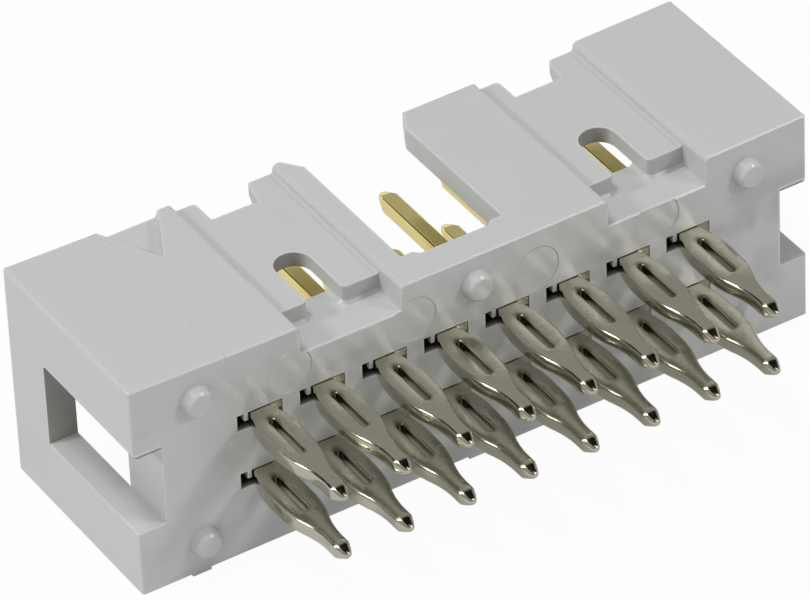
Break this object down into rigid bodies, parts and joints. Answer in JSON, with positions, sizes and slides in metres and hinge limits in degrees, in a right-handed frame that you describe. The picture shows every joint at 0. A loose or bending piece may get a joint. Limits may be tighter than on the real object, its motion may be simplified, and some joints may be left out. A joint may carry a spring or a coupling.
{
  "type": "shrouded box header with press-fit tails",
  "caption": "Straight shrouded box header for a ribbon cable plug: two rows of square posts in a keyed plastic shell with end slots and latch plates, and press-fit needle-eye tails behind.",
  "frame": {"origin": "centre of the contact field on the housing's rear face", "axes": "+X along the rows from contact column 1, +Y the way a plug is pulled out, +Z towards the keyed wall"},
  "size_m": [0.028, 0.0143, 0.0091],
  "materials": {
    "housing_plastic": "satin moulded thermoplastic, light grey",
    "contact_metal": "copper alloy, matt tin on the tail and gold on the post"
  },
  "bodies": {
    "root": {"housing": "housing_plastic", "contact_upper_1": "contact_metal", "contact_upper_2": "contact_metal", "contact_upper_3": "contact_metal", "contact_upper_4": "contact_metal", "contact_upper_5": "contact_metal", "contact_upper_6": "contact_metal", "contact_upper_7": "contact_metal", "contact_upper_8": "contact_metal", "contact_lower_1": "contact_metal", "contact_lower_2": "contact_metal", "contact_lower_3": "contact_metal", "contact_lower_4": "contact_metal", "contact_lower_5": "contact_metal", "contact_lower_6": "contact_metal", "contact_lower_7": "contact_metal", "contact_lower_8": "contact_metal"}
  },
  "joints": []
}
